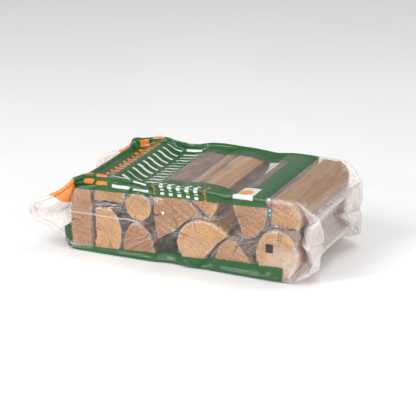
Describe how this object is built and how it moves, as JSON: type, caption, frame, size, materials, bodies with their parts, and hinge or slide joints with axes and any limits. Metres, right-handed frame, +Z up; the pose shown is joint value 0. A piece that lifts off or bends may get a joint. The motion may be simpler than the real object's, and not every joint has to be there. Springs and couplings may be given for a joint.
{
  "type": "bagged firewood bundle",
  "caption": "Split and round firewood logs lying side by side in a sealed clear film bag with printed green and orange panels.",
  "frame": {"origin": "under the middle of the whole bag, sealed tails included, on the surface that it lies on", "axes": "+X along the bag from its orange-banded end to the other, +Y along the logs, +Z up"},
  "size_m": [0.542, 0.26, 0.15],
  "materials": {
    "clear_film": "thin clear film, glossy and crinkled, with green and orange printed panels",
    "split_wood": "dry, rough split and sawn hardwood",
    "red_wood": "dry, rough split and sawn hardwood, redder heartwood",
    "pale_wood": "dry sawn end grain of a pale round log with its bark on"
  },
  "bodies": {
    "root": {"film_bag": "clear_film", "slab_log_left_end": "red_wood", "half_log_left": "split_wood", "half_log_top_left": "split_wood", "small_round_log": "split_wood", "domed_half_log": "red_wood", "large_wedge_log": "split_wood", "top_wedge_log": "split_wood", "large_round_log": "pale_wood", "lower_wedge_log": "red_wood", "right_wedge_log": "split_wood", "round_log_right_end": "pale_wood", "quarter_log_top_right": "split_wood"}
  },
  "joints": []
}
